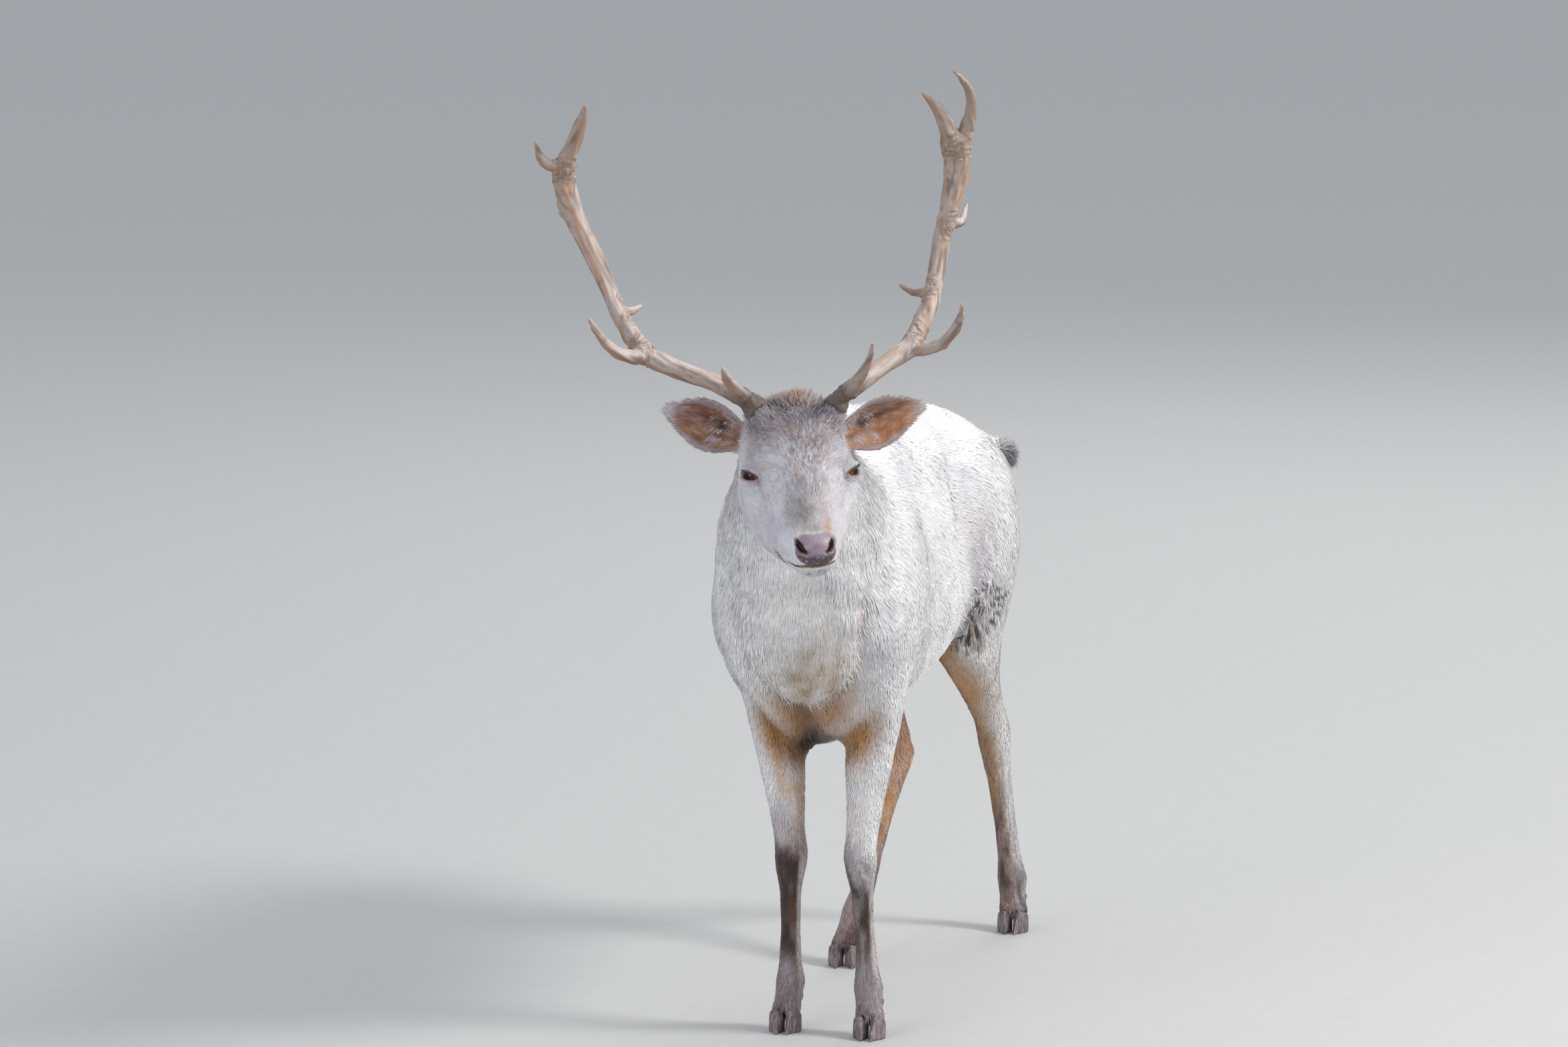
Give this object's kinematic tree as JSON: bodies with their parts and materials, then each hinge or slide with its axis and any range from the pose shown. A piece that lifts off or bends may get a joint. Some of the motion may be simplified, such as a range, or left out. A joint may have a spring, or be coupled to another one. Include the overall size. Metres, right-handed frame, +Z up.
{
  "type": "deer",
  "caption": "Life-size white fallow deer buck standing with its head turned a little to its left, with young palmate antlers and a short bushy tail.",
  "frame": {"origin": "middle of the deer's box, at the level of the hoof soles", "axes": "+X to the deer's left, -Y the way its body faces, +Z up"},
  "size_m": [0.5536, 1.3236, 1.3219],
  "materials": {
    "coat": "short dense off-white fur, thicker and longer on the neck",
    "leg_coat": "short flat leg fur, stained tan and grey-brown",
    "ear_coat": "thin ear fur, tan inside with pale hair tufts",
    "hoof_horn": "dull dark horn with fine growth rings",
    "antler": "dry grey-beige antler bone, browner below and darker at the burr",
    "eye": "wet dark brown eye with a clear cornea"
  },
  "bodies": {
    "root": {"head": "coat", "neck": "coat", "trunk": "coat", "tail": "coat", "ear_left": "ear_coat", "eye_left": "eye", "antler_left_beam_lower": "antler", "antler_left_beam_upper": "antler", "antler_left_brow_tine": "antler", "antler_left_trez_tine": "antler", "antler_left_inner_tine": "antler", "antler_left_back_spur": "antler", "antler_left_crown_outer": "antler", "antler_left_crown_inner": "antler", "ear_right": "ear_coat", "eye_right": "eye", "antler_right_beam_lower": "antler", "antler_right_beam_upper": "antler", "antler_right_brow_tine": "antler", "antler_right_trez_tine": "antler", "antler_right_inner_tine": "antler", "antler_right_back_spur": "antler", "antler_right_crown_outer": "antler", "antler_right_crown_inner": "antler", "leg_front_left_upper": "coat", "leg_front_left_lower": "leg_coat", "leg_front_left_pastern": "leg_coat", "hoof_front_left_left": "hoof_horn", "dewclaw_front_left_left": "hoof_horn", "hoof_front_left_right": "hoof_horn", "dewclaw_front_left_right": "hoof_horn", "leg_front_right_upper": "coat", "leg_front_right_lower": "leg_coat", "leg_front_right_pastern": "leg_coat", "hoof_front_right_left": "hoof_horn", "dewclaw_front_right_left": "hoof_horn", "hoof_front_right_right": "hoof_horn", "dewclaw_front_right_right": "hoof_horn", "leg_hind_left_upper": "coat", "leg_hind_left_lower": "leg_coat", "leg_hind_left_pastern": "leg_coat", "hoof_hind_left_left": "hoof_horn", "dewclaw_hind_left_left": "hoof_horn", "hoof_hind_left_right": "hoof_horn", "dewclaw_hind_left_right": "hoof_horn", "leg_hind_right_upper": "coat", "leg_hind_right_lower": "leg_coat", "leg_hind_right_pastern": "leg_coat", "hoof_hind_right_left": "hoof_horn", "dewclaw_hind_right_left": "hoof_horn", "hoof_hind_right_right": "hoof_horn", "dewclaw_hind_right_right": "hoof_horn"}
  },
  "joints": []
}
